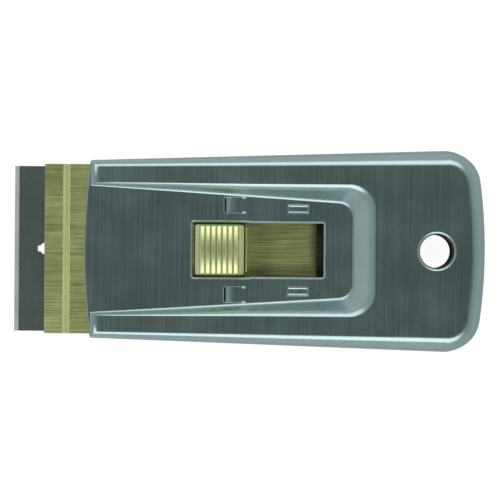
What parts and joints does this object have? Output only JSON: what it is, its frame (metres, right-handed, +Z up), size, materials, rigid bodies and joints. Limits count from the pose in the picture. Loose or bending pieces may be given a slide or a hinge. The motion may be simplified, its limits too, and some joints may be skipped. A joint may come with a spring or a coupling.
{
  "type": "razor blade scraper",
  "caption": "Retractable razor blade scraper: wedge handle of pressed steel with a hang hole, a ribbed thumb button in a window, and a sliding brass-plated carrier with a single-edge blade.",
  "frame": {"origin": "middle of the footprint with the blade out, on the plane that the handle's hem rests on", "axes": "+X from the cutting edge towards the hang hole, +Y across the handle, +Z up out of the recess"},
  "size_m": [0.109, 0.0468, 0.01],
  "materials": {
    "satin_steel": "satin plated, brushed across the handle",
    "brass_plate": "brass plated, brushed along the slide",
    "brass_rivet": "plain",
    "brass_button": "bright brass plated",
    "spring_steel": "blued spring steel",
    "blade_steel": "dark rolled strip with a bright ground bevel",
    "spine_steel": "plain rolled strip"
  },
  "bodies": {
    "handle": {"top_shell": "satin_steel", "base_plate": "satin_steel"},
    "carriage": {"carrier_plate": "brass_plate", "lower_jaw": "brass_plate", "jaw_rivets": "brass_rivet", "button_spring": "spring_steel", "spring_rivets": "brass_rivet"},
    "button": {"thumb_button": "brass_button"},
    "blade": {"blade": "blade_steel", "blade_spine": "spine_steel"}
  },
  "joints": [
    {"name": "carriage_slide", "type": "slide", "parent": "handle", "child": "carriage", "axis": [1, 0, 0], "range_m": [0, 0.0175]},
    {"name": "button_press", "type": "slide", "parent": "carriage", "child": "button", "axis": [0, 0, -1], "range_m": [0, 0.001], "stiffness_N_per_m": 1500, "springref_m": -0.001, "deforming": ["button_spring"]},
    {"name": "blade_change", "type": "slide", "parent": "carriage", "child": "blade", "axis": [-1, 0, 0], "range_m": [0, 0.0125]}
  ]
}
